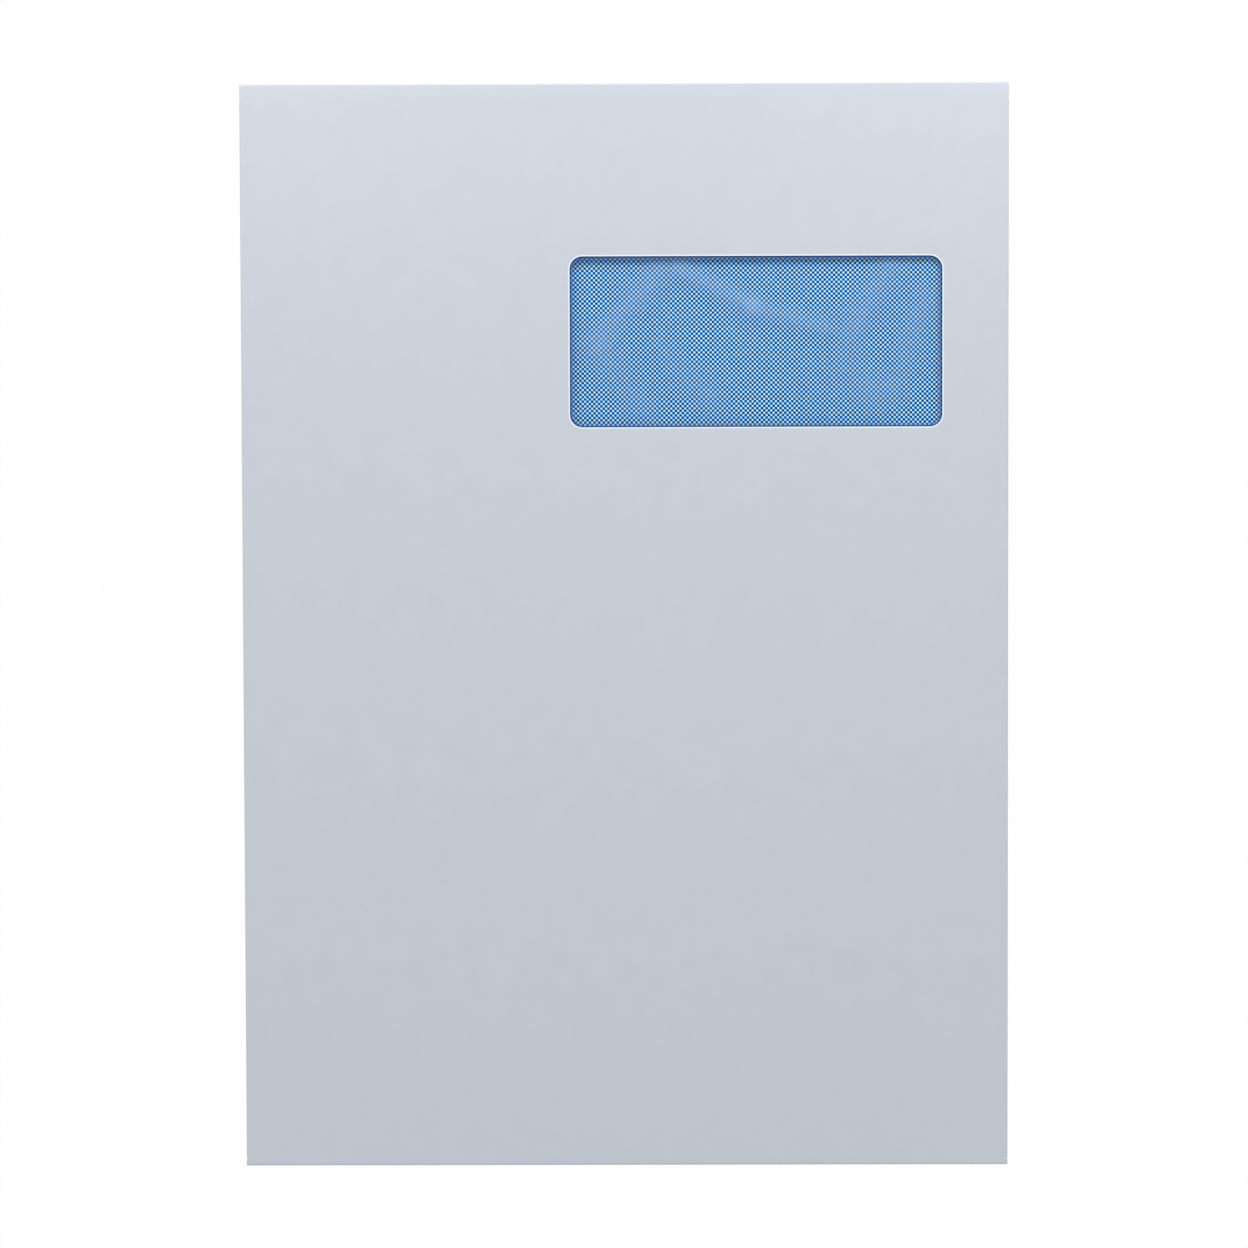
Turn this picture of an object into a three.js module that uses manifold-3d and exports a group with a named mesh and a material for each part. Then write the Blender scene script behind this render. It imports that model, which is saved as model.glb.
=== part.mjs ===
// Window envelope: a C4 pocket folded from one paper blank, with a glued window film,
// two glued side seams and a peel-and-seal flap folded down behind.
// It lies on its back with the address face up. Units are millimetres: +X is the
// reader's right, +Y points to the flap end and +Z rises out of the address face.
// The origin is at the middle of the underside.
import * as THREE from 'three';
import { mergeVertices } from 'three/addons/utils/BufferGeometryUtils.js';
import Module from 'manifold-3d';

const wasm = await Module();
wasm.setup();

// Folded size of the pocket
const envelopeWidth = 229;
const envelopeHeight = 324;

// Thickness of each layer, and the air left between two faces that lie on each other
const paperThickness = 0.12;
const filmThickness = 0.04;
const glueThickness = 0.04;
const adhesiveThickness = 0.04;
const linerThickness = 0.06;
const touchGap = 0.02;

// Window in the address face, and the film behind it
const windowWidth = 111;
const windowHeight = 50.8;
const windowFromRight = 19.8;
const windowFromTop = 51.5;
const windowCornerRadius = 3.8;
const filmMargin = 9;
const frameGlueInset = 1.5;

// Side flaps, folded in behind the face and glued to the back panel
const sideFoldRadius = 0.35;
const sideFlapWidth = 16;
const sideFlapEndTaper = 8;
const sideFlapTopClearance = 4;
const sideFlapBottomClearance = 1.5;
const seamGlueInset = 4;
const seamGlueEndInset = 14;

// Back panel, folded up from the bottom edge over the side flaps
const backPanelSideInset = 1.2;
const backPanelShoulder = 2;
const throatDepth = 12;
const throatDip = 8;

// Seal flap, folded down behind, with its adhesive strip and release liner
const sealFlapDepth = 45;
const sealFlapTaper = 8;
const sealFlapCornerRadius = 12;
const linerFromFlapEdge = 4;
const linerWidth = 27;
const linerEndInset = 15;
const adhesiveWidth = 16;
const adhesiveEndInset = 20;

// Between two folds the paper's free edge stands this far inside the folded outline,
// and the notch that lets the side fold start is this long
const shoulderInset = 0.03;
const foldNotch = 0.3;

// An empty pocket stands a little open: its face rises to a flat-topped crown
const faceCrown = 1.4;
const crownPower = 4;

// Length over which the pocket comes down from the folded flap to the table
const settleLength = 60;

// Rows near a shaped free edge are shifted over this length
const edgeStretch = 28;

// Lattice of the sheets, and the distance within which two of their points are one
const cellSize = 16;
const foldSteps = 6;
const cornerSteps = 5;
const windowCornerSteps = 6;
const mergeDistance = 1e-5;

// Middle surface of each layer above the table, before the flap lifts the pocket
const backLevel = paperThickness / 2;
const seamGlueLevel = backLevel + (paperThickness + glueThickness) / 2 + touchGap;
const sideFlapLevel = seamGlueLevel + (glueThickness + paperThickness) / 2 + touchGap;
const faceLevel = sideFlapLevel + 2 * sideFoldRadius;

// Middle surface of each layer that lies on the folded-down flap
const sealFlapLevel = paperThickness / 2;
const adhesiveLevel = sealFlapLevel + (paperThickness + adhesiveThickness) / 2 + touchGap;
const linerLevel = adhesiveLevel + (adhesiveThickness + linerThickness) / 2 + touchGap;
const pocketLift = linerLevel + linerThickness / 2 + touchGap;

// Fold axes, measured to the middle of the paper
const bottomFoldRadius = (faceLevel - backLevel) / 2;
const topFoldRadius = (faceLevel + pocketLift - sealFlapLevel) / 2;
const sideAxis = envelopeWidth / 2 - paperThickness / 2 - sideFoldRadius;
const bottomAxis = -envelopeHeight / 2 + paperThickness / 2 + bottomFoldRadius;
const topAxis = envelopeHeight / 2 - paperThickness / 2 - topFoldRadius;
const sideArc = Math.PI * sideFoldRadius;
const bottomArc = Math.PI * bottomFoldRadius;
const topArc = Math.PI * topFoldRadius;

// Lines across and along the face
const windowRight = envelopeWidth / 2 - windowFromRight;
const windowLeft = windowRight - windowWidth;
const windowTop = envelopeHeight / 2 - windowFromTop;
const windowBottom = windowTop - windowHeight;
const filmEdges = outlineAround(filmMargin);
const frameOuterEdges = outlineAround(filmMargin - frameGlueInset);
const frameInnerEdges = outlineAround(frameGlueInset);
const sideFlapTop = topAxis - sideFlapTopClearance;
const sideFlapBottom = bottomAxis + sideFlapBottomClearance;
const topShoulder = sideFlapTop + foldNotch;
const bottomShoulder = sideFlapBottom - foldNotch;
const sideFlapEdge = envelopeWidth / 2 - sideFlapWidth;
const sideFlapRun = sideAxis - sideFlapEdge;
const sealFlapEdge = envelopeHeight / 2 - sealFlapDepth;
const sealFlapRun = topAxis - sealFlapEdge;
const throatLine = topAxis - throatDepth;
const settleStart = sealFlapEdge - settleLength;
const shoulderHalfWidth = envelopeWidth / 2 - shoulderInset;
const backPanelHalfWidth = envelopeWidth / 2 - backPanelSideInset;

// Lattice lines of the face, shared with the film and its glue so that they stay parallel
const faceColumns = stations([
  -sideAxis, sideAxis,
  ...[filmEdges, frameOuterEdges, frameInnerEdges].flatMap((edges) => [edges.left, edges.right]),
]);
const faceRows = stations([
  bottomAxis, bottomShoulder, sideFlapBottom, settleStart, sealFlapEdge, sideFlapTop, topShoulder, topAxis,
  ...[filmEdges, frameOuterEdges, frameInnerEdges].flatMap((edges) => [edges.bottom, edges.top]),
]);

function outlineAround(margin) {
  return {
    left: windowLeft - margin,
    right: windowRight + margin,
    bottom: windowBottom - margin,
    top: windowTop + margin,
  };
}

// Every stop in order, with the stretches between them split into cells
function stations(stops, cell = cellSize) {
  const ordered = [...stops].sort((a, b) => a - b);
  const lines = [ordered[0]];
  ordered.slice(1).forEach((stop, k) => {
    const span = stop - ordered[k];
    const cells = Math.ceil(span / cell);
    for (let n = 1; n < cells; n++) lines.push(ordered[k] + (span * n) / cells);
    if (cells > 0) lines.push(stop);
  });
  return lines;
}

function within(lines, low, high) {
  return lines.filter((line) => line >= low && line <= high);
}

// How far the folded flap lifts the pocket at a place along it
function lift(y) {
  return pocketLift * THREE.MathUtils.clamp((y - settleStart) / settleLength, 0, 1);
}

// Height of the middle of the face paper
function faceHeight(x, y) {
  const middle = (topAxis + bottomAxis) / 2;
  const halfLength = (topAxis - bottomAxis) / 2;
  const across = 1 - Math.abs(x / sideAxis) ** crownPower;
  const along = 1 - Math.abs((y - middle) / halfLength) ** crownPower;
  return faceLevel + lift(y) + faceCrown * across * along;
}

// Carries a sheet round a fold. The run is the length past the fold axis, and the result
// is how far the point lies beyond the axis and above the level before the fold.
function foldOver(run, radius, offset) {
  const arc = Math.PI * radius;
  if (run >= arc) return [arc - run, -2 * radius - offset];
  const angle = run / radius;
  return [(radius + offset) * Math.sin(angle), (radius + offset) * Math.cos(angle) - radius];
}

function isBesideFlap(v) {
  return v >= sideFlapBottom && v <= sideFlapTop;
}

// Half width of the blank's middle strip, from the back panel's throat to the seal flap
function stripHalfWidth(v) {
  const flapRun = v - topAxis - topArc;
  const backRun = bottomAxis - bottomArc - v;
  if (flapRun > 0) {
    const cornerRun = Math.max(0, flapRun - sealFlapRun + sealFlapCornerRadius);
    const cornerCut = sealFlapCornerRadius - Math.sqrt(sealFlapCornerRadius ** 2 - cornerRun ** 2);
    return shoulderHalfWidth - sealFlapTaper * (flapRun / sealFlapRun) - cornerCut;
  }
  if (backRun >= backPanelShoulder) return backPanelHalfWidth;
  return isBesideFlap(v) ? sideAxis : shoulderHalfWidth;
}

// Moves the rows before a free edge so that the edge itself steps back by the shift
function steppedBack(v, edge, shift) {
  const share = Math.max(0, 1 - Math.abs(edge - v) / edgeStretch);
  return v - Math.sign(edge) * shift * share;
}

// A point of the flat blank, u across and v along, with its free edges cut to shape
function blankOutline(u, v) {
  if (Math.abs(u) > sideAxis) {
    const flapShare = Math.max(0, Math.abs(u) - sideAxis - sideArc) / sideFlapRun;
    const taper = sideFlapEndTaper * flapShare;
    return [u, steppedBack(steppedBack(v, sideFlapTop, taper), sideFlapBottom, taper)];
  }
  const across = u * (stripHalfWidth(v) / sideAxis);
  const dip = throatDip * (1 - (u / sideAxis) ** 2) ** 2;
  return [across, v < bottomAxis - bottomArc ? steppedBack(v, throatEnd, dip) : v];
}

// The same point on the folded envelope, offset from the middle of the paper
function foldedPoint(u, v, offset) {
  if (Math.abs(u) > sideAxis && isBesideFlap(v)) {
    const [beyond, rise] = foldOver(Math.abs(u) - sideAxis, sideFoldRadius, offset);
    return [Math.sign(u) * (sideAxis + beyond), v, faceLevel + lift(v) + rise];
  }
  if (v > topAxis) {
    const [beyond, rise] = foldOver(v - topAxis, topFoldRadius, offset);
    return [u, topAxis + beyond, faceLevel + pocketLift + rise];
  }
  if (v < bottomAxis) {
    const [beyond, rise] = foldOver(bottomAxis - v, bottomFoldRadius, offset);
    const y = bottomAxis - beyond;
    return [u, y, faceLevel + lift(y) + rise];
  }
  return [u, v, faceHeight(u, v) + offset];
}

// Closed solid of a thin sheet on a lattice: an upper and a lower surface over the cells
// that are kept, and a wall along every edge that has no neighbour.
function sheetGeometry(columns, rows, isKept, place) {
  const positions = [];
  const index = [];
  const numbers = new Map();

  function vertex(i, j, side) {
    const key = `${i},${j},${side}`;
    if (!numbers.has(key)) {
      numbers.set(key, positions.length / 3);
      positions.push(...place(columns[i], rows[j], side));
    }
    return numbers.get(key);
  }

  function quad(a, b, c, d) {
    index.push(a, b, c, a, c, d);
  }

  function kept(i, j) {
    const inside = i >= 0 && j >= 0 && i < columns.length - 1 && j < rows.length - 1;
    return inside && isKept((columns[i] + columns[i + 1]) / 2, (rows[j] + rows[j + 1]) / 2);
  }

  for (let i = 0; i < columns.length - 1; i++) {
    for (let j = 0; j < rows.length - 1; j++) {
      if (!kept(i, j)) continue;
      const ring = [[i, j], [i + 1, j], [i + 1, j + 1], [i, j + 1]];
      const upper = ring.map(([a, b]) => vertex(a, b, 1));
      const lower = ring.map(([a, b]) => vertex(a, b, -1));
      quad(...upper);
      quad(lower[1], lower[0], lower[3], lower[2]);
      const neighbours = [[i, j - 1], [i + 1, j], [i, j + 1], [i - 1, j]];
      neighbours.forEach(([a, b], k) => {
        const next = (k + 1) % 4;
        if (!kept(a, b)) quad(lower[k], lower[next], upper[next], upper[k]);
      });
    }
  }

  const geometry = new THREE.BufferGeometry();
  geometry.setAttribute('position', new THREE.Float32BufferAttribute(positions, 3));
  geometry.setIndex(index);
  geometry.computeVertexNormals();
  return geometry;
}

function toSolid(geometry) {
  const bare = geometry.clone();
  bare.deleteAttribute('normal');
  bare.deleteAttribute('uv');
  const merged = mergeVertices(bare, mergeDistance);
  return new wasm.Manifold(new wasm.Mesh({
    numProp: 3,
    vertProperties: new Float32Array(merged.attributes.position.array),
    triVerts: new Uint32Array(merged.index.array),
  }));
}

function fromSolid(solid) {
  const mesh = solid.getMesh();
  const geometry = new THREE.BufferGeometry();
  geometry.setAttribute('position', new THREE.BufferAttribute(mesh.vertProperties, 3));
  geometry.setIndex(new THREE.BufferAttribute(mesh.triVerts, 1));
  geometry.computeVertexNormals();
  return geometry;
}

// Lattice lines of the whole blank: the middle strip's columns with the side folds and
// flaps outside them, and its rows from the throat of the back panel to the seal flap
const sideRuns = [
  ...Array.from({ length: foldSteps }, (_, k) => (sideArc * (k + 1)) / foldSteps),
  ...stations([sideArc, sideArc + sideFlapRun]).slice(1),
];
const blankColumns = [
  ...sideRuns.map((run) => -sideAxis - run).reverse(),
  ...faceColumns,
  ...sideRuns.map((run) => sideAxis + run),
];
const backPanelRows = stations([
  bottomAxis, bottomAxis + backPanelShoulder, settleStart, sealFlapEdge, throatLine,
]);
const throatEnd = bottomAxis - bottomArc - (throatLine - bottomAxis);
const sealFlapRows = [
  ...stations([0, sealFlapRun - sealFlapCornerRadius]),
  ...Array.from({ length: cornerSteps }, (_, k) => {
    const angle = ((k + 1) / cornerSteps) * (Math.PI / 2);
    return sealFlapRun - sealFlapCornerRadius * (1 - Math.sin(angle));
  }),
];
const foldShares = Array.from({ length: foldSteps - 1 }, (_, k) => (k + 1) / foldSteps);
const blankRows = [
  ...backPanelRows.map((y) => bottomAxis - bottomArc - (y - bottomAxis)).reverse(),
  ...foldShares.map((share) => bottomAxis - bottomArc * (1 - share)),
  ...faceRows,
  ...foldShares.map((share) => topAxis + topArc * share),
  ...sealFlapRows.map((run) => topAxis + topArc + run),
];

// The blank: address face, side flaps, back panel and seal flap in one folded sheet
function envelopeBlank() {
  const isPaper = (u, v) => Math.abs(u) < sideAxis || (v > sideFlapBottom && v < sideFlapTop);
  const folded = sheetGeometry(blankColumns, blankRows, isPaper, (column, row, side) => {
    const [u, v] = blankOutline(column, row);
    return foldedPoint(u, v, (side * paperThickness) / 2);
  });
  return fromSolid(toSolid(folded).subtract(toSolid(windowPunch())));
}

// The punch that cuts the window: it goes through the face and stops short of the back
function windowPunch() {
  const backTop = backLevel + paperThickness / 2 + pocketLift;
  const faceUnderside = faceLevel - paperThickness / 2;
  const punchEnd = (backTop + faceUnderside) / 2;
  const crownTop = faceLevel + pocketLift + faceCrown + paperThickness;
  const outline = roundedRectangle(windowWidth, windowHeight, windowCornerRadius);
  const punch = new THREE.ExtrudeGeometry(outline, {
    depth: crownTop - punchEnd,
    bevelEnabled: false,
    curveSegments: windowCornerSteps,
  });
  punch.translate((windowLeft + windowRight) / 2, (windowBottom + windowTop) / 2, punchEnd);
  return punch;
}

function roundedRectangle(width, height, radius) {
  const x = width / 2 - radius;
  const y = height / 2 - radius;
  const shape = new THREE.Shape();
  shape.absarc(x, y, radius, 0, Math.PI / 2);
  shape.absarc(-x, y, radius, Math.PI / 2, Math.PI);
  shape.absarc(-x, -y, radius, Math.PI, Math.PI * 1.5);
  shape.absarc(x, -y, radius, Math.PI * 1.5, Math.PI * 2);
  return shape;
}

// A sheet that follows the underside of the face, this far below the middle of its paper
function sheetUnderFace(edges, below, thickness, isKept) {
  const columns = within(faceColumns, edges.left, edges.right);
  const rows = within(faceRows, edges.bottom, edges.top);
  return sheetGeometry(columns, rows, isKept, (x, y, side) => (
    [x, y, faceHeight(x, y) - below + (side * thickness) / 2]
  ));
}

// The glue round the window, a frame that stays clear of the cut edge and the film's edge
function windowGlueFrame() {
  const below = (paperThickness + glueThickness) / 2 + touchGap;
  const isOutsideWindow = (x, y) => (
    x < frameInnerEdges.left || x > frameInnerEdges.right
    || y < frameInnerEdges.bottom || y > frameInnerEdges.top
  );
  return sheetUnderFace(frameOuterEdges, below, glueThickness, isOutsideWindow);
}

function windowFilm() {
  const below = (paperThickness + filmThickness) / 2 + glueThickness + 2 * touchGap;
  return sheetUnderFace(filmEdges, below, filmThickness, () => true);
}

// The glue between a side flap and the back panel, on the right or the left side
function sideSeamGlue(side) {
  const outer = envelopeWidth / 2 - seamGlueInset;
  const inner = sideFlapEdge + seamGlueInset / 2;
  const columns = side > 0 ? [inner, outer] : [-outer, -inner];
  const low = bottomAxis + seamGlueEndInset;
  const high = throatLine - seamGlueInset;
  const rows = stations([low, settleStart, sealFlapEdge, high], envelopeHeight);
  return sheetGeometry(columns, rows, () => true, (x, y, face) => (
    [x, y, seamGlueLevel + lift(y) + (face * glueThickness) / 2]
  ));
}

// A flat strip across the seal flap, between its end insets
function flapStrip(endInset, width, thickness) {
  return new THREE.BoxGeometry(envelopeWidth - 2 * endInset, width, thickness);
}

const paperMaterial = new THREE.MeshStandardMaterial({ color: 0xd6dae0, roughness: 0.85, metalness: 0 });
const filmMaterial = new THREE.MeshStandardMaterial({
  color: 0xe4eef5, roughness: 0.15, metalness: 0, transparent: true, opacity: 0.3,
});
const glueMaterial = new THREE.MeshStandardMaterial({ color: 0xe9e4d2, roughness: 0.5, metalness: 0 });
const adhesiveMaterial = new THREE.MeshStandardMaterial({ color: 0xe6e2c8, roughness: 0.3, metalness: 0 });
const linerMaterial = new THREE.MeshStandardMaterial({ color: 0xf4f4f0, roughness: 0.4, metalness: 0 });

const envelope = new THREE.Group();

function addPiece(parent, name, geometry, material) {
  const mesh = new THREE.Mesh(geometry, material);
  mesh.name = name;
  parent.add(mesh);
  return mesh;
}

addPiece(envelope, 'envelope_blank', envelopeBlank(), paperMaterial);
addPiece(envelope, 'window_film', windowFilm(), filmMaterial);
addPiece(envelope, 'window_glue_frame', windowGlueFrame(), glueMaterial);
addPiece(envelope, 'side_seam_glue_left', sideSeamGlue(-1), glueMaterial);
addPiece(envelope, 'side_seam_glue_right', sideSeamGlue(1), glueMaterial);

// The adhesive lies on the flap's inner side, and the liner covers it until it is used
const closure = new THREE.Group();
closure.position.y = sealFlapEdge + linerFromFlapEdge + linerWidth / 2;
envelope.add(closure);
const adhesiveStrip = flapStrip(adhesiveEndInset, adhesiveWidth, adhesiveThickness);
addPiece(closure, 'seal_adhesive_strip', adhesiveStrip, adhesiveMaterial).position.z = adhesiveLevel;
const linerStrip = flapStrip(linerEndInset, linerWidth, linerThickness);
addPiece(closure, 'release_liner', linerStrip, linerMaterial).position.z = linerLevel;

export default envelope;
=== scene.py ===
import math

import bpy
from mathutils import Euler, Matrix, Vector


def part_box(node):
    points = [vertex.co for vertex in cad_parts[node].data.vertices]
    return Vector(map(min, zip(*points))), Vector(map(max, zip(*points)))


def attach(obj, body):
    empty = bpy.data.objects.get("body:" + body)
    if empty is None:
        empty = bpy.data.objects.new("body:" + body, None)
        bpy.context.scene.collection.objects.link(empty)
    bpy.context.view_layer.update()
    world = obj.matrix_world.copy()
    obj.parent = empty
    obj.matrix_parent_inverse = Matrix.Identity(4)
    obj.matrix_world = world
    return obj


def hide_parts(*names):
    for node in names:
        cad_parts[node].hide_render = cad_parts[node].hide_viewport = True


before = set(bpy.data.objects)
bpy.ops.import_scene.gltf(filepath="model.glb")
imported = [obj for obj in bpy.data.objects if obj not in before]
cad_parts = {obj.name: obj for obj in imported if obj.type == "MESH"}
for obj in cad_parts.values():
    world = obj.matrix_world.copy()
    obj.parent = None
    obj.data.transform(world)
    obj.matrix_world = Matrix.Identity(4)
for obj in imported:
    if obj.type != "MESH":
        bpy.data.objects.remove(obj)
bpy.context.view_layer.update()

# Units: the scene is in metres, and sizes below are written in millimetres
MM = 0.001

# Layers of the folded pocket
PAPER = 0.12
FILM = 0.04
GLUE = 0.04
ADHESIVE = 0.04
LINER = 0.06
TOUCH = 0.02

# Folds and flaps of the blank
SIDE_FOLD_RADIUS = 0.35
SIDE_FLAP_WIDTH = 16
SIDE_FLAP_END_TAPER = 8
SIDE_FLAP_TOP_CLEARANCE = 4
SIDE_FLAP_BOTTOM_CLEARANCE = 1.5
BACK_PANEL_SIDE_INSET = 1.2
BACK_PANEL_SHOULDER = 2
THROAT_DEPTH = 12
THROAT_DIP = 8
SEAL_FLAP_TAPER = 8
SEAL_FLAP_CORNER_RADIUS = 12
LINER_FROM_FLAP_EDGE = 4
SHOULDER_INSET = 0.03
FOLD_NOTCH = 0.3
FACE_CROWN = 1.4
CROWN_POWER = 4
SETTLE_LENGTH = 60
EDGE_STRETCH = 28

# Window and film
FILM_MARGIN = 9
FRAME_GLUE_INSET = 1.5
WINDOW_CORNER_RADIUS = 3.8

# Fine form of the paper
COCKLE = 0.10
GLUE_EMBOSS = 0.05
EMBOSS_INNER_RISE = 2
EMBOSS_OUTER_RISE = 1.5
EMBOSS_OVERHANG = 0.5
TOP_FOLD_SAG = 0.16

# Slow waves of the paper, each as its share, length, bend, length of the bend and start
WAVE_ACROSS = (0.55, 31, 0.9, 67, 0.4)
WAVE_ALONG = (0.45, 43, 0.7, 52, 1.9)
SLANT_SHARE = 0.30
SLANT_LENGTH = 24
SLANT_START = 2.3

# Lattice of the fine sheets
CELL = 4
WINDOW_CELL = 0.55
FOLD_STEPS = 12
CORNER_STEPS = 10
TOLERANCE = 1e-6

# Lattice points this near the window are tried, and moved onto its outline in a few rounds
NEAR_WINDOW = 1
OUTLINE_STEP = 0.01
OUTLINE_ROUNDS = 4


def box_mm(node):
    low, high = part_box(node)
    return Vector(low) / MM, Vector(high) / MM


blank_low, blank_high = box_mm("envelope_blank")
film_low, film_high = box_mm("window_film")
liner_low, _ = box_mm("release_liner")
WIDTH = blank_high.x - blank_low.x
HEIGHT = blank_high.y - blank_low.y

# Middle surface of each layer above the table
BACK_LEVEL = PAPER / 2
SIDE_FLAP_LEVEL = BACK_LEVEL + PAPER + GLUE + 2 * TOUCH
FACE_LEVEL = SIDE_FLAP_LEVEL + 2 * SIDE_FOLD_RADIUS
SEAL_FLAP_LEVEL = PAPER / 2
POCKET_LIFT = PAPER + ADHESIVE + LINER + 3 * TOUCH

# Fold axes
BOTTOM_RADIUS = (FACE_LEVEL - BACK_LEVEL) / 2
TOP_RADIUS = (FACE_LEVEL + POCKET_LIFT - SEAL_FLAP_LEVEL) / 2
SIDE_AXIS = WIDTH / 2 - PAPER / 2 - SIDE_FOLD_RADIUS
BOTTOM_AXIS = -HEIGHT / 2 + PAPER / 2 + BOTTOM_RADIUS
TOP_AXIS = HEIGHT / 2 - PAPER / 2 - TOP_RADIUS
SIDE_ARC = math.pi * SIDE_FOLD_RADIUS
BOTTOM_ARC = math.pi * BOTTOM_RADIUS
TOP_ARC = math.pi * TOP_RADIUS

# Lines on the face and the flaps
WINDOW_LEFT = film_low.x + FILM_MARGIN
WINDOW_RIGHT = film_high.x - FILM_MARGIN
WINDOW_BOTTOM = film_low.y + FILM_MARGIN
WINDOW_TOP = film_high.y - FILM_MARGIN
WINDOW_X = (WINDOW_LEFT + WINDOW_RIGHT) / 2
WINDOW_Y = (WINDOW_BOTTOM + WINDOW_TOP) / 2
WINDOW_HALF_X = (WINDOW_RIGHT - WINDOW_LEFT) / 2
WINDOW_HALF_Y = (WINDOW_TOP - WINDOW_BOTTOM) / 2
SIDE_FLAP_TOP = TOP_AXIS - SIDE_FLAP_TOP_CLEARANCE
SIDE_FLAP_BOTTOM = BOTTOM_AXIS + SIDE_FLAP_BOTTOM_CLEARANCE
SIDE_FLAP_EDGE = WIDTH / 2 - SIDE_FLAP_WIDTH
SIDE_FLAP_RUN = SIDE_AXIS - SIDE_FLAP_EDGE
SEAL_FLAP_EDGE = liner_low.y - LINER_FROM_FLAP_EDGE
SEAL_FLAP_RUN = TOP_AXIS - SEAL_FLAP_EDGE
THROAT_LINE = TOP_AXIS - THROAT_DEPTH
THROAT_END = BOTTOM_AXIS - BOTTOM_ARC - (THROAT_LINE - BOTTOM_AXIS)
SETTLE_START = SEAL_FLAP_EDGE - SETTLE_LENGTH
SHOULDER_HALF = WIDTH / 2 - SHOULDER_INSET
BACK_PANEL_HALF = WIDTH / 2 - BACK_PANEL_SIDE_INSET


def clamp01(value):
    return min(1.0, max(0.0, value))


def smooth(value):
    t = clamp01(value)
    return t * t * (3 - 2 * t)


def stations(stops, cell=CELL):
    """Every stop in order, with the stretches between them split into cells."""
    ordered = sorted(stops)
    lines = [ordered[0]]
    for low, high in zip(ordered, ordered[1:]):
        span = high - low
        cells = math.ceil(span / cell - TOLERANCE)
        lines += [low + span * n / cells for n in range(1, cells)]
        if cells > 0:
            lines.append(high)
    return lines


def window_distance(x, y):
    """Distance outside the window's rounded outline, negative inside it."""
    dx = abs(x - WINDOW_X) - (WINDOW_HALF_X - WINDOW_CORNER_RADIUS)
    dy = abs(y - WINDOW_Y) - (WINDOW_HALF_Y - WINDOW_CORNER_RADIUS)
    outside = math.hypot(max(dx, 0), max(dy, 0))
    return outside + min(max(dx, dy), 0) - WINDOW_CORNER_RADIUS


def onto_window_outline(x, y):
    """Nearest point of the window's outline to a point beside it."""
    step = OUTLINE_STEP
    for _ in range(OUTLINE_ROUNDS):
        d = window_distance(x, y)
        gx = (window_distance(x + step, y) - window_distance(x - step, y)) / (2 * step)
        gy = (window_distance(x, y + step) - window_distance(x, y - step)) / (2 * step)
        length = math.hypot(gx, gy) or 1
        x -= d * gx / length
        y -= d * gy / length
    return x, y


def lift(y):
    """How far the folded seal flap lifts the pocket."""
    return POCKET_LIFT * clamp01((y - SETTLE_START) / SETTLE_LENGTH)


def crown_share(x, y):
    """Share of the crown's full height: 1 in the middle of the face and 0 at its folds."""
    middle = (TOP_AXIS + BOTTOM_AXIS) / 2
    half_length = (TOP_AXIS - BOTTOM_AXIS) / 2
    across = 1 - abs(x / SIDE_AXIS) ** CROWN_POWER
    along = 1 - abs((y - middle) / half_length) ** CROWN_POWER
    return max(0, across) * max(0, along)


def bent_wave(run, beside, share, length, bend, bend_length, start):
    """A wave along the run whose fronts are bent by a slower wave beside it."""
    return share * math.sin(run / length + bend * math.sin(beside / bend_length) + start)


def cockle(x, y):
    """Slow, shallow waves of an empty paper pocket."""
    straight = bent_wave(x, y, *WAVE_ACROSS) + bent_wave(y, x, *WAVE_ALONG)
    slanting = SLANT_SHARE * math.sin((x + y) / SLANT_LENGTH + SLANT_START)
    return COCKLE * (straight + slanting)


def face_height(x, y):
    """Height of the middle of the face paper, which the film follows."""
    share = crown_share(x, y)
    return FACE_LEVEL + lift(y) + (FACE_CROWN + cockle(x, y)) * share


def emboss(x, y):
    """The face stands a little proud over the film and its glue."""
    d = window_distance(x, y)
    rise = smooth((d - FRAME_GLUE_INSET + EMBOSS_INNER_RISE / 2) / EMBOSS_INNER_RISE)
    fall = smooth((FILM_MARGIN - d + EMBOSS_OVERHANG) / EMBOSS_OUTER_RISE)
    return GLUE_EMBOSS * (rise * fall)


def fold_over(run, radius, offset):
    """A sheet carried round a fold: how far beyond the axis, and how far above the start level."""
    arc = math.pi * radius
    if run >= arc:
        return arc - run, -2 * radius - offset
    angle = run / radius
    return (radius + offset) * math.sin(angle), (radius + offset) * math.cos(angle) - radius


def beside_flap(v):
    return SIDE_FLAP_BOTTOM <= v <= SIDE_FLAP_TOP


def strip_half_width(v):
    """Half width of the blank's middle strip, from the throat to the seal flap."""
    flap_run = v - TOP_AXIS - TOP_ARC
    back_run = BOTTOM_AXIS - BOTTOM_ARC - v
    if flap_run > 0:
        corner_run = max(0, flap_run - SEAL_FLAP_RUN + SEAL_FLAP_CORNER_RADIUS)
        corner_run = min(corner_run, SEAL_FLAP_CORNER_RADIUS)
        cut = SEAL_FLAP_CORNER_RADIUS - math.sqrt(SEAL_FLAP_CORNER_RADIUS ** 2 - corner_run ** 2)
        return SHOULDER_HALF - SEAL_FLAP_TAPER * (flap_run / SEAL_FLAP_RUN) - cut
    if back_run >= BACK_PANEL_SHOULDER:
        return BACK_PANEL_HALF
    return SIDE_AXIS if beside_flap(v) else SHOULDER_HALF


def stepped_back(v, edge, shift):
    """Moves the rows before a free edge so that the edge itself steps back by the shift."""
    share = max(0, 1 - abs(edge - v) / EDGE_STRETCH)
    return v - math.copysign(shift * share, edge)


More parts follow.
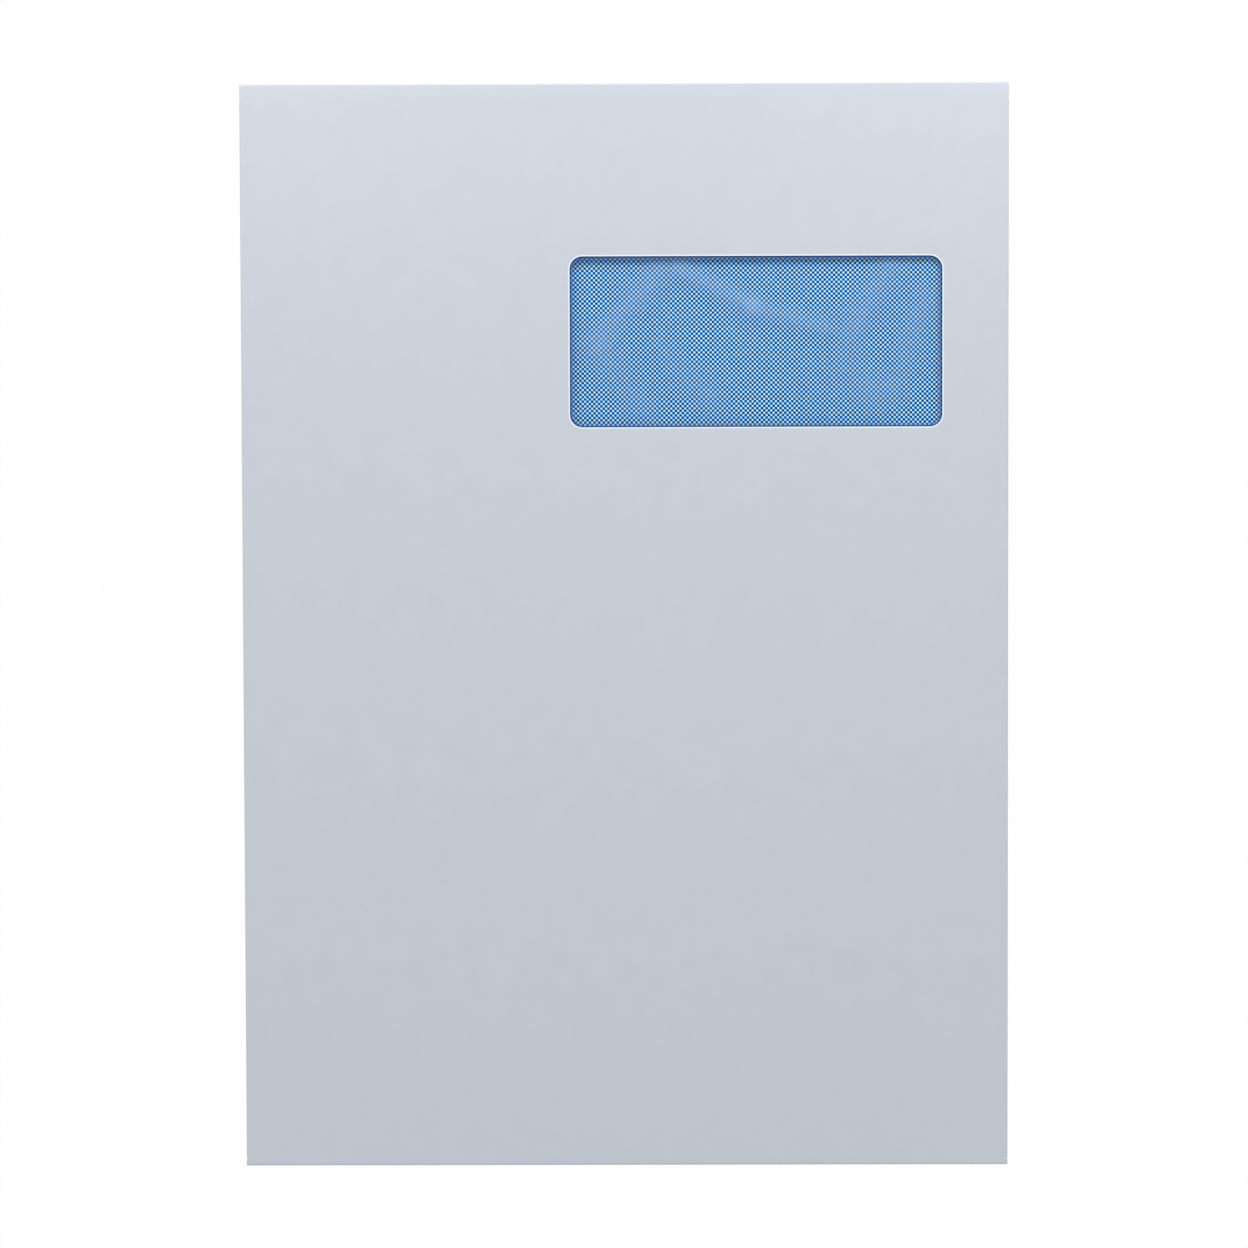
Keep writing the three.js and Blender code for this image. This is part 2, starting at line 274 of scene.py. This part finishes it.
def blank_outline(u, v):
    """A point of the flat blank, with its free edges cut to shape."""
    if abs(u) > SIDE_AXIS + TOLERANCE:
        taper = SIDE_FLAP_END_TAPER * max(0, abs(u) - SIDE_AXIS - SIDE_ARC) / SIDE_FLAP_RUN
        v = stepped_back(v, SIDE_FLAP_TOP, taper)
        return u, stepped_back(v, SIDE_FLAP_BOTTOM, taper)
    across = u * strip_half_width(v) / SIDE_AXIS
    dip = THROAT_DIP * (1 - (u / SIDE_AXIS) ** 2) ** 2
    if v < BOTTOM_AXIS - BOTTOM_ARC:
        v = stepped_back(v, THROAT_END, dip)
    return across, v


def folded_point(u, v, offset):
    """The same point on the folded envelope, offset from the middle of the paper."""
    if abs(u) > SIDE_AXIS + TOLERANCE and beside_flap(v):
        beyond, rise = fold_over(abs(u) - SIDE_AXIS, SIDE_FOLD_RADIUS, offset)
        return math.copysign(SIDE_AXIS + beyond, u), v, FACE_LEVEL + lift(v) + rise
    if v > TOP_AXIS:
        beyond, rise = fold_over(v - TOP_AXIS, TOP_RADIUS, offset)
        sag = TOP_FOLD_SAG * (1 - (u / SIDE_AXIS) ** 2) * max(0, beyond / TOP_RADIUS)
        return u, TOP_AXIS + beyond - sag, FACE_LEVEL + POCKET_LIFT + rise
    if v < BOTTOM_AXIS:
        beyond, rise = fold_over(BOTTOM_AXIS - v, BOTTOM_RADIUS, offset)
        y = BOTTOM_AXIS - beyond
        return u, y, FACE_LEVEL + lift(y) + rise
    return u, v, face_height(u, v) + emboss(u, v) + offset


# Sides of a sheet, in the order of its materials
OUTER, INNER, EDGE = 0, 1, 2


def sheet_object(name, columns, rows, kept, place, materials):
    """A closed thin sheet on a lattice, with its outer side, inner side and edges by material."""
    points = []
    faces = []
    sides = []
    numbers = {}
    last_column = len(columns) - 1
    last_row = len(rows) - 1

    def vertex(i, j, side):
        key = (i, j, side)
        if key not in numbers:
            numbers[key] = len(points)
            x, y, z = place(i, j, side)
            points.append((x * MM, y * MM, z * MM))
        return numbers[key]

    def keeps(i, j):
        inside = 0 <= i < last_column and 0 <= j < last_row
        return inside and kept((columns[i] + columns[i + 1]) / 2, (rows[j] + rows[j + 1]) / 2)

    cells = {(i, j) for i in range(last_column) for j in range(last_row) if keeps(i, j)}
    for i, j in sorted(cells):
        ring = [(i, j), (i + 1, j), (i + 1, j + 1), (i, j + 1)]
        upper = [vertex(a, b, 1) for a, b in ring]
        lower = [vertex(a, b, -1) for a, b in ring]
        faces.append(upper)
        sides.append(OUTER)
        faces.append(lower[::-1])
        sides.append(INNER)
        for k, cell in enumerate([(i, j - 1), (i + 1, j), (i, j + 1), (i - 1, j)]):
            if cell not in cells:
                n = (k + 1) % 4
                faces.append([lower[k], lower[n], upper[n], upper[k]])
                sides.append(EDGE)

    mesh = bpy.data.meshes.new(name)
    mesh.from_pydata(points, [], faces)
    for material in materials:
        mesh.materials.append(material)
    last_material = len(materials) - 1
    mesh.polygons.foreach_set("material_index", [min(side, last_material) for side in sides])
    mesh.polygons.foreach_set("use_smooth", [side != EDGE for side in sides])
    mesh.update()
    obj = bpy.data.objects.new(name, mesh)
    bpy.context.scene.collection.objects.link(obj)
    sharpen_edges(obj, sides)
    return obj


def sharpen_edges(obj, sides):
    """Keeps the cut edges crisp beside the smooth sides of a sheet."""
    mesh = obj.data
    walls = {}
    for polygon, side in zip(mesh.polygons, sides):
        for key in polygon.edge_keys:
            walls.setdefault(key, set()).add(side)
    sharp = [len(walls.get(tuple(sorted(edge.vertices)), ())) > 1 for edge in mesh.edges]
    attribute = mesh.attributes.new("sharp_edge", "BOOLEAN", "EDGE")
    attribute.data.foreach_set("value", sharp)


class Nodes:
    """A small helper to write a material's nodes in a few lines."""

    def __init__(self, name):
        self.material = bpy.data.materials.new(name)
        self.material.use_nodes = True
        self.tree = self.material.node_tree
        self.shader = self.tree.nodes["Principled BSDF"]

    def add(self, kind, **inputs):
        node = self.tree.nodes.new(kind)
        for name, value in inputs.items():
            self.feed(node.inputs[name.replace("_", " ")], value)
        return node

    def feed(self, socket, value):
        if isinstance(value, bpy.types.NodeSocket):
            self.tree.links.new(value, socket)
        else:
            socket.default_value = value

    def math(self, operation, a, b=0.0):
        node = self.tree.nodes.new("ShaderNodeMath")
        node.operation = operation
        self.feed(node.inputs[0], a)
        self.feed(node.inputs[1], b)
        return node.outputs[0]

    def position(self):
        """The object's own coordinates."""
        return self.tree.nodes.new("ShaderNodeTexCoord").outputs["Object"]

    def millimetres(self, position):
        """The same coordinates as x, y and z in millimetres."""
        split = self.add("ShaderNodeSeparateXYZ", Vector=position)
        return [self.math("MULTIPLY", split.outputs[axis], 1 / MM) for axis in "XYZ"]

    def noise(self, position, scale, detail, roughness):
        node = self.add("ShaderNodeTexNoise", Scale=scale, Detail=detail, Roughness=roughness)
        self.tree.links.new(position, node.inputs["Vector"])
        return node.outputs["Fac"]

    def between(self, value, low, high, out_low=0.0, out_high=1.0):
        """A smooth change from out_low to out_high as the value goes from low to high."""
        node = self.tree.nodes.new("ShaderNodeMapRange")
        node.interpolation_type = "SMOOTHSTEP"
        self.feed(node.inputs["Value"], value)
        limits = {"From Min": low, "From Max": high, "To Min": out_low, "To Max": out_high}
        for name, number in limits.items():
            self.feed(node.inputs[name], number)
        return node.outputs["Result"]

    def mix(self, share, a, b):
        node = self.tree.nodes.new("ShaderNodeMix")
        node.data_type = "RGBA"
        self.feed(node.inputs["Factor"], share)
        self.feed(node.inputs["A"], a)
        self.feed(node.inputs["B"], b)
        return node.outputs["Result"]

    def bump(self, height, strength, distance):
        node = self.add("ShaderNodeBump", Strength=strength, Distance=distance)
        self.tree.links.new(height, node.inputs["Height"])
        self.tree.links.new(node.outputs["Normal"], self.shader.inputs["Normal"])

    def set(self, **inputs):
        for name, value in inputs.items():
            self.feed(self.shader.inputs[name.replace("_", " ")], value)


def colour(red, green, blue):
    """An sRGB colour of 0 to 255 as the linear colour that a shader takes."""
    def linear(level):
        share = level / 255
        return share / 12.92 if share <= 0.04045 else ((share + 0.055) / 1.055) ** 2.4
    return (linear(red), linear(green), linear(blue), 1.0)


# Colours of the paper, of its cut edges and of the ink; the pale cut colour is also painted on the
# face as a highlight rim at the window
PAPER_COLOUR = colour(208, 216, 225)
PAPER_SHADE = colour(206, 214, 223)
CUT_EDGE_AND_HIGHLIGHT_COLOUR = colour(241, 253, 255)
CUT_SHADE = colour(222, 227, 232)
TINT_DARK = colour(0, 38, 100)
TINT_MIDDLE = colour(0, 146, 236)
TINT_LIGHT = colour(218, 255, 255)

# Pattern of the ink: its period, how far its outline strays, and the levels of its three tones
TINT_PERIOD = 1.39
TINT_STRAY = 0.4
TINT_DARK_LEVEL = -0.5
TINT_MIDDLE_LEVEL = 0.0
TINT_LIGHT_LEVEL = 0.55

# Pattern of the paper, and the painted highlight rim at the window, full to the first distance and
# gone at the second
CLOUD_SHARE = 0.7
GRAIN_SHARE = 0.3
HIGHLIGHT_RIM_FULL = 0.3
HIGHLIGHT_RIM_END = 0.5

# Middle value of a noise, and the depth in metres of the finest bumps
NOISE_MIDDLE = 0.5
FINE_BUMP = 0.00005


def paper_grain(n, position):
    return n.noise(position, scale=2600, detail=2, roughness=0.6)


def paper_look():
    """Smooth uncoated paper: a fine formation cloud, fibre grain and a painted highlight rim along
    the window edge.
    """
    n = Nodes("white_paper")
    position = n.position()
    cloud = n.math("MULTIPLY", n.noise(position, scale=140, detail=5, roughness=0.62), CLOUD_SHARE)
    grain = n.math("MULTIPLY", paper_grain(n, position), GRAIN_SHARE)
    tone = n.math("ADD", cloud, grain)
    base = n.mix(n.between(tone, low=0.35, high=0.65), PAPER_SHADE, PAPER_COLOUR)
    # Painted highlight: a thin pale rim on the face paper along the window's cut
    with_highlight_rim = n.mix(painted_highlight_rim(n, position), base, CUT_EDGE_AND_HIGHLIGHT_COLOUR)
    n.set(Base_Color=with_highlight_rim, Roughness=0.72, Specular_IOR_Level=0.35)
    n.bump(tone, strength=0.25, distance=FINE_BUMP)
    return n.material


def window_distance_nodes(n, x, y):
    """The distance outside the window's rounded outline, as nodes."""
    from_x = n.math("ABSOLUTE", n.math("SUBTRACT", x, WINDOW_X))
    from_y = n.math("ABSOLUTE", n.math("SUBTRACT", y, WINDOW_Y))
    dx = n.math("SUBTRACT", from_x, WINDOW_HALF_X - WINDOW_CORNER_RADIUS)
    dy = n.math("SUBTRACT", from_y, WINDOW_HALF_Y - WINDOW_CORNER_RADIUS)
    over_x = n.math("MAXIMUM", dx, 0.0)
    over_y = n.math("MAXIMUM", dy, 0.0)
    square = n.math("ADD", n.math("MULTIPLY", over_x, over_x), n.math("MULTIPLY", over_y, over_y))
    inside = n.math("MINIMUM", n.math("MAXIMUM", dx, dy), 0.0)
    return n.math("SUBTRACT", n.math("ADD", n.math("SQRT", square), inside), WINDOW_CORNER_RADIUS)


def painted_highlight_rim(n, position):
    """Share of the thin pale rim of painted highlight on the face paper along the window's cut."""
    x, y, z = n.millimetres(position)
    distance = window_distance_nodes(n, x, y)
    near = n.between(distance, HIGHLIGHT_RIM_FULL, HIGHLIGHT_RIM_END, out_low=1.0, out_high=0.0)
    above_back_panel = (POCKET_LIFT + FACE_LEVEL) / 2
    on_face = n.math("GREATER_THAN", z, above_back_panel)
    return n.math("MULTIPLY", near, on_face)


def tint_look():
    """The blue security tint printed on the inner side: small squares set corner to corner."""
    n = Nodes("security_tint")
    position = n.position()
    x, y, _ = n.millimetres(position)
    turn = 2 * math.pi / TINT_PERIOD
    wave_x = n.math("COSINE", n.math("MULTIPLY", x, turn))
    wave_y = n.math("COSINE", n.math("MULTIPLY", y, turn))
    check = n.math("MULTIPLY", wave_x, wave_y)
    soak = n.noise(position, scale=1900, detail=2, roughness=0.5)
    stray = n.math("MULTIPLY", n.math("SUBTRACT", soak, NOISE_MIDDLE), TINT_STRAY)
    level = n.math("ADD", check, stray)
    to_middle = n.between(level, TINT_DARK_LEVEL, TINT_MIDDLE_LEVEL)
    to_light = n.between(level, TINT_MIDDLE_LEVEL, TINT_LIGHT_LEVEL)
    base = n.mix(to_light, n.mix(to_middle, TINT_DARK, TINT_MIDDLE), TINT_LIGHT)
    n.set(Base_Color=base, Roughness=0.8, Specular_IOR_Level=0.1)
    n.bump(paper_grain(n, position), strength=0.2, distance=FINE_BUMP)
    return n.material


def cut_edge_look():
    """The cut edge of the sheet, where the fibres stand open."""
    n = Nodes("cut_paper_edge")
    fibre = n.noise(n.position(), scale=5200, detail=3, roughness=0.7)
    n.set(Base_Color=n.mix(fibre, CUT_SHADE, CUT_EDGE_AND_HIGHLIGHT_COLOUR), Roughness=0.9)
    n.bump(fibre, strength=0.4, distance=FINE_BUMP)
    return n.material


paper_material = paper_look()
tint_material = tint_look()
edge_material = cut_edge_look()


# The blank's lattice
def window_stops(axis_low, axis_high):
    """Lattice lines that are close together round the window's corners."""
    lines = []
    for edge, inward in ((axis_low, 1), (axis_high, -1)):
        corner = edge + inward * WINDOW_CORNER_RADIUS
        lines += stations([edge, corner], WINDOW_CELL)
        lines.append(edge - inward * WINDOW_CELL)
    return lines


face_columns = stations(
    [-SIDE_AXIS, SIDE_AXIS, film_low.x, film_high.x] + window_stops(WINDOW_LEFT, WINDOW_RIGHT)
)
face_rows = stations(
    [BOTTOM_AXIS, SIDE_FLAP_BOTTOM - FOLD_NOTCH, SIDE_FLAP_BOTTOM, SETTLE_START, SEAL_FLAP_EDGE]
    + [SIDE_FLAP_TOP, SIDE_FLAP_TOP + FOLD_NOTCH, TOP_AXIS]
    + [film_low.y, film_high.y] + window_stops(WINDOW_BOTTOM, WINDOW_TOP)
)
side_runs = [SIDE_ARC * (k + 1) / FOLD_STEPS for k in range(FOLD_STEPS)]
side_runs += stations([SIDE_ARC, SIDE_ARC + SIDE_FLAP_RUN])[1:]
blank_columns = [-SIDE_AXIS - run for run in reversed(side_runs)] + face_columns
blank_columns += [SIDE_AXIS + run for run in side_runs]
back_rows = stations(
    [BOTTOM_AXIS, BOTTOM_AXIS + BACK_PANEL_SHOULDER, SETTLE_START, SEAL_FLAP_EDGE, THROAT_LINE]
)
seal_rows = stations([0, SEAL_FLAP_RUN - SEAL_FLAP_CORNER_RADIUS])
for k in range(CORNER_STEPS):
    turn = (k + 1) / CORNER_STEPS * math.pi / 2
    seal_rows.append(SEAL_FLAP_RUN - SEAL_FLAP_CORNER_RADIUS * (1 - math.sin(turn)))
fold_shares = [(k + 1) / FOLD_STEPS for k in range(FOLD_STEPS - 1)]
blank_rows = [2 * BOTTOM_AXIS - BOTTOM_ARC - y for y in reversed(back_rows)]
blank_rows += [BOTTOM_AXIS - BOTTOM_ARC * (1 - share) for share in fold_shares]
blank_rows += face_rows
blank_rows += [TOP_AXIS + TOP_ARC * share for share in fold_shares]
blank_rows += [TOP_AXIS + TOP_ARC + run for run in seal_rows]


def is_paper(u, v):
    """Whether the flat lattice holds paper at a point."""
    if abs(u) > SIDE_AXIS:
        return SIDE_FLAP_BOTTOM < v < SIDE_FLAP_TOP
    return not (BOTTOM_AXIS < v < TOP_AXIS) or window_distance(u, v) > 0


def middles_beside(lines, number):
    """Middles of the two cells that meet at a lattice line."""
    return [(lines[number + n] + lines[number + n + 1]) / 2 for n in (-1, 0)]


def touches_window(i, j):
    """Whether a lattice point lies on the border between paper and window."""
    middle_columns = middles_beside(blank_columns, i)
    middle_rows = middles_beside(blank_rows, j)
    around = [is_paper(u, v) for u in middle_columns for v in middle_rows]
    return any(around) and not all(around)


def blank_place(i, j, side):
    u, v = blank_outline(blank_columns[i], blank_rows[j])
    near_window = abs(window_distance(u, v)) < NEAR_WINDOW and BOTTOM_AXIS < v < TOP_AXIS
    if near_window and touches_window(i, j):
        u, v = onto_window_outline(u, v)
    return folded_point(u, v, side * PAPER / 2)


paper = sheet_object(
    "envelope_paper", blank_columns, blank_rows, is_paper, blank_place,
    [paper_material, tint_material, edge_material],
)
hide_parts("envelope_blank")
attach(paper, "root")


# The printed tint where the window shows it, as its own thin layer of ink on the back panel
INK = 0.008
INK_GAP = 0.004
INK_MARGIN = 3


def everywhere(x, y):
    return True


def ink_patch():
    columns = stations([WINDOW_LEFT - INK_MARGIN, WINDOW_RIGHT + INK_MARGIN])
    rows = stations([WINDOW_BOTTOM - INK_MARGIN, SETTLE_START, WINDOW_TOP + INK_MARGIN])
    top_of_back = BACK_LEVEL + PAPER / 2

    def place(i, j, side):
        height = top_of_back + lift(rows[j]) + INK_GAP + (1 + side) * INK / 2
        return columns[i], rows[j], height

    return sheet_object("window_tint_print", columns, rows, everywhere, place, [tint_material])


ink = ink_patch()
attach(ink, "root")


# The film is clear, with soft creases; a painted sheen along each crease stands in for the light
# they catch. Each crease is a line from its start to its end, measured right and down from the
# window's upper left corner, with the half width and the strength of its painted sheen.
CREASES = [
    ((33.0, 3.5), (54.0, 14.5), 3.0, 0.7),
    ((55.0, 15.0), (76.0, 21.0), 2.8, 0.6),
    ((26.5, 5.0), (8.5, 25.0), 4.0, 0.6),
    ((95.0, 4.0), (84.0, 22.0), 4.4, 0.5),
    ((106.0, 12.0), (97.0, 38.0), 4.4, 0.4),
    ((83.0, 33.0), (90.0, 41.0), 6.0, 0.4),
    ((27.0, 27.0), (41.0, 41.0), 4.6, 0.3),
    ((10.0, 30.0), (22.0, 46.0), 5.0, 0.35),
]
CREASE_HEIGHT = 0.08
CREASE_SETTLING = 4
RIDGE_WIDTH_SHARE = 0.6
FILM_CELL = 1.5


def crease_at(x, y):
    """Painted sheen and ridge height of the creases at a point of the film."""
    painted_sheen = 0.0
    ridge = 0.0
    px = x - WINDOW_LEFT
    py = WINDOW_TOP - y
    for (ax, ay), (bx, by), half_width, strength in CREASES:
        length = math.hypot(bx - ax, by - ay)
        along = ((px - ax) * (bx - ax) + (py - ay) * (by - ay)) / length ** 2
        t = clamp01(along)
        away = math.hypot(px - ax - t * (bx - ax), py - ay - t * (by - ay))
        painted_sheen += strength * math.exp(-(away / half_width) ** 2)
        ridge += strength * math.exp(-(away / (RIDGE_WIDTH_SHARE * half_width)) ** 2)
    return min(painted_sheen, 1.0), min(ridge, 1.0)


# The film's colour, and the painted sheen that lightens it along the creases
FILM_COLOUR = colour(142, 186, 240)
CREASE_SHEEN_COLOUR = colour(180, 221, 255)
SHEEN_AND_HAZE_ALPHA = 0.21
CREASE_SHEEN_SHARE = 0.8
SOFT_SHARE = 0.16

# Beside the glued edge the film is painted with a band of blue shade, and a dark line of painted
# shade at the cut
RIM_BLUE_SHADE = colour(0, 104, 212)
RIM_BLUE_SHADE_WIDTH = 1.5
RIM_BLUE_SHADE_ALPHA = 0.36
RIM_SHADE = colour(0, 44, 100)
RIM_SHADE_WIDTH = 0.55
RIM_SHADE_FULL = 0.05
RIM_SHADE_ALPHA = 0.9


def film_look():
    """A clear film that is seen only by a painted sheen along its creases, a soft haze and painted
    shade along its rim.
    """
    n = Nodes("clear_film")
    position = n.position()
    x, y, _ = n.millimetres(position)
    painted_sheen = n.tree.nodes.new("ShaderNodeAttribute")
    painted_sheen.attribute_name = "painted_sheen"
    haze = n.noise(position, scale=60, detail=4, roughness=0.55)
    soft = n.between(haze, low=0.35, high=0.75)
    crease_sheen_share = n.math("MULTIPLY", painted_sheen.outputs["Fac"], CREASE_SHEEN_SHARE)
    share = n.math("ADD", crease_sheen_share, n.math("MULTIPLY", soft, SOFT_SHARE))
    sheen_and_haze_alpha = n.math("MULTIPLY", share, SHEEN_AND_HAZE_ALPHA)
    outside = window_distance_nodes(n, x, y)
    blue_shade_band = n.between(outside, -RIM_BLUE_SHADE_WIDTH, 0.0)
    shade = n.between(outside, -RIM_SHADE_WIDTH, -RIM_SHADE_FULL)
    # Painted sheen: the film's colour lightens along the creases as if they caught the light
    clear = n.mix(painted_sheen.outputs["Fac"], FILM_COLOUR, CREASE_SHEEN_COLOUR)
    # Painted shade: a blue shaded band and a dark line along the window's rim
    base = n.mix(shade, n.mix(blue_shade_band, clear, RIM_BLUE_SHADE), RIM_SHADE)
    alpha = n.math("MAXIMUM", sheen_and_haze_alpha, n.math("MULTIPLY", blue_shade_band, RIM_BLUE_SHADE_ALPHA))
    alpha = n.math("MAXIMUM", alpha, n.math("MULTIPLY", shade, RIM_SHADE_ALPHA))
    n.set(Base_Color=base, Roughness=0.28, Alpha=alpha, Specular_IOR_Level=0.2)
    n.bump(soft, strength=0.15, distance=0.0002)
    return n.material


def film_piece():
    columns = stations([film_low.x, film_high.x], FILM_CELL)
    rows = stations([film_low.y, film_high.y], FILM_CELL)
    below = (PAPER + FILM) / 2 + GLUE + 2 * TOUCH

    def place(i, j, side):
        x, y = columns[i], rows[j]
        inside = smooth(-window_distance(x, y) / CREASE_SETTLING)
        ridge = CREASE_HEIGHT * crease_at(x, y)[1] * inside
        return x, y, face_height(x, y) - below - ridge + side * FILM / 2

    film = sheet_object("window_film_sheet", columns, rows, everywhere, place, [film_look()])
    # The painted sheen of the creases, kept on each point of the film
    painted_sheen = film.data.attributes.new("painted_sheen", "FLOAT", "POINT")
    points = [vertex.co / MM for vertex in film.data.vertices]
    painted_sheen.data.foreach_set("value", [crease_at(p.x, p.y)[0] for p in points])
    return film


film = film_piece()
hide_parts("window_film")
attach(film, "root")


# The glue, the adhesive and its liner
def patchy_look(name, low, high, roughness, scale, strength, distance):
    """A coat whose tone and height change from patch to patch."""
    n = Nodes(name)
    patch = n.noise(n.position(), scale, detail=4, roughness=0.6)
    n.set(Base_Color=n.mix(patch, low, high), Roughness=roughness)
    n.bump(patch, strength, distance)
    return n.material


glue_material = patchy_look(
    "dried_glue", colour(226, 222, 206), colour(240, 237, 224),
    roughness=0.4, scale=300, strength=0.3, distance=0.0001,
)
adhesive_material = patchy_look(
    "hot_melt", colour(226, 220, 190), colour(238, 233, 208),
    roughness=0.25, scale=500, strength=0.2, distance=FINE_BUMP,
)
liner_material = patchy_look(
    "siliconised_paper", colour(240, 240, 236), colour(247, 247, 244),
    roughness=0.35, scale=900, strength=0.2, distance=FINE_BUMP,
)


def glue_frame():
    """The glue between the film and the face, which follows the fine face as the film does."""
    inner = FRAME_GLUE_INSET
    outer = FILM_MARGIN - FRAME_GLUE_INSET
    xs = [WINDOW_LEFT - outer, WINDOW_LEFT - inner, WINDOW_RIGHT + inner, WINDOW_RIGHT + outer]
    ys = [WINDOW_BOTTOM - outer, WINDOW_BOTTOM - inner, WINDOW_TOP + inner, WINDOW_TOP + outer]
    columns = stations(xs, FILM_CELL)
    rows = stations(ys, FILM_CELL)
    below = (PAPER + GLUE) / 2 + TOUCH

    def is_glue(x, y):
        return not (xs[1] < x < xs[2] and ys[1] < y < ys[2])

    def place(i, j, side):
        x, y = columns[i], rows[j]
        return x, y, face_height(x, y) - below + side * GLUE / 2

    return sheet_object("window_glue", columns, rows, is_glue, place, [glue_material])


glue = glue_frame()
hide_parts("window_glue_frame")
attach(glue, "root")


# The other inner layers keep their solids and get their own finish
def finish_node(node, material):
    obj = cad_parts[node]
    obj.data.materials.clear()
    obj.data.materials.append(material)


finish_node("side_seam_glue_left", glue_material)
finish_node("side_seam_glue_right", glue_material)
finish_node("seal_adhesive_strip", adhesive_material)
finish_node("release_liner", liner_material)


# Floor, light and camera, in metres
FLOOR_SIZE = 6.0
FLOOR_GAP = 0.0002
FLOOR_COLOUR = (0.86, 0.87, 0.88, 1.0)
WHITE = (1.0, 1.0, 1.0, 1.0)
BACKGROUND_SHARE = 0.97
WORLD_LEVEL = 0.487


def sees_background(tree):
    """1 on the rays that show the background: from the camera, a glossy surface or glass."""
    rays = tree.nodes.new("ShaderNodeLightPath")
    share = rays.outputs["Is Camera Ray"]
    for name in ("Is Glossy Ray", "Is Transmission Ray"):
        either = tree.nodes.new("ShaderNodeMath")
        either.operation = "MAXIMUM"
        tree.links.new(share, either.inputs[0])
        tree.links.new(rays.outputs[name], either.inputs[1])
        share = either.outputs[0]
    return share


def pale_look():
    """A pale floor that the camera sees near white, with the object's shadow kept."""
    n = Nodes("pale_floor")
    tree = n.tree
    n.set(Base_Color=FLOOR_COLOUR, Roughness=0.9, Specular_IOR_Level=0.0)
    white = tree.nodes.new("ShaderNodeEmission")
    white.inputs["Color"].default_value = WHITE
    share = n.math("MULTIPLY", sees_background(tree), BACKGROUND_SHARE)
    mixed = tree.nodes.new("ShaderNodeMixShader")
    output = tree.nodes["Material Output"]
    tree.links.new(share, mixed.inputs["Fac"])
    tree.links.new(n.shader.outputs["BSDF"], mixed.inputs[1])
    tree.links.new(white.outputs["Emission"], mixed.inputs[2])
    tree.links.new(mixed.outputs["Shader"], output.inputs["Surface"])
    return n.material


def make_floor():
    mesh = bpy.data.meshes.new("floor")
    half = FLOOR_SIZE / 2
    corners = [(x * half, y * half, -FLOOR_GAP) for x, y in ((-1, -1), (1, -1), (1, 1), (-1, 1))]
    mesh.from_pydata(corners, [], [(0, 1, 2, 3)])
    mesh.materials.append(pale_look())
    obj = bpy.data.objects.new("floor", mesh)
    bpy.context.scene.collection.objects.link(obj)


def make_world():
    """Even light from all sides, with plain white where the background is seen."""
    world = bpy.data.worlds.new("studio")
    bpy.context.scene.world = world
    world.use_nodes = True
    tree = world.node_tree
    light = tree.nodes["Background"]
    light.inputs["Color"].default_value = WHITE
    light.inputs["Strength"].default_value = WORLD_LEVEL
    seen = tree.nodes.new("ShaderNodeBackground")
    seen.inputs["Color"].default_value = WHITE
    mixed = tree.nodes.new("ShaderNodeMixShader")
    tree.links.new(sees_background(tree), mixed.inputs["Fac"])
    tree.links.new(light.outputs["Background"], mixed.inputs[1])
    tree.links.new(seen.outputs["Background"], mixed.inputs[2])
    tree.links.new(mixed.outputs["Shader"], tree.nodes["World Output"].inputs["Surface"])


# Each lamp's place, its size, its power and its colour. Two soft boxes stand far beyond the flap
# end, where they shade the window's top edge, and two small low lamps brighten the top corners.
WHITE_LIGHT = (1.0, 1.0, 1.0)
WARM_LIGHT = (1.0, 0.86, 0.86)
LAMPS = [
    ((-0.6, 1.885, 2.0), 1.3, 19.5, WHITE_LIGHT),
    ((0.6, 1.885, 2.0), 1.3, 19.5, WHITE_LIGHT),
    ((-0.16, 0.28, 0.14), 0.06, 0.088, WARM_LIGHT),
    ((0.16, 0.28, 0.14), 0.06, 0.1, WARM_LIGHT),
]
LAMP_AIM_SHARE = 0.2
LAMP_AIM_Y = 0.04


def make_lamps():
    for number, (place, size, power, tone) in enumerate(LAMPS):
        lamp = bpy.data.lights.new(f"lamp_{number}", "AREA")
        lamp.size = size
        lamp.energy = power
        lamp.color = tone
        obj = bpy.data.objects.new(f"lamp_{number}", lamp)
        obj.location = place
        obj.visible_camera = False
        aim = Vector((place[0] * LAMP_AIM_SHARE, LAMP_AIM_Y, 0.0)) - obj.location
        obj.rotation_euler = aim.to_track_quat("-Z", "Y").to_euler()
        bpy.context.scene.collection.objects.link(obj)


# The camera hangs over the envelope, a little towards the flap end, and looks slightly back
CAMERA_PLACE = (0.00445, 0.03063, 0.90166)
CAMERA_TURN_DEGREES = (-1.888, 0.303, -0.168)
LENS_LENGTH = 86.87
SENSOR_WIDTH = 36.0


def make_camera():
    data = bpy.data.cameras.new("camera")
    data.sensor_width = SENSOR_WIDTH
    data.lens = LENS_LENGTH
    obj = bpy.data.objects.new("camera", data)
    obj.location = CAMERA_PLACE
    obj.rotation_euler = Euler([math.radians(angle) for angle in CAMERA_TURN_DEGREES])
    bpy.context.scene.collection.objects.link(obj)
    bpy.context.scene.camera = obj


make_floor()
make_world()
make_lamps()
make_camera()
bpy.context.scene.view_settings.view_transform = "Standard"
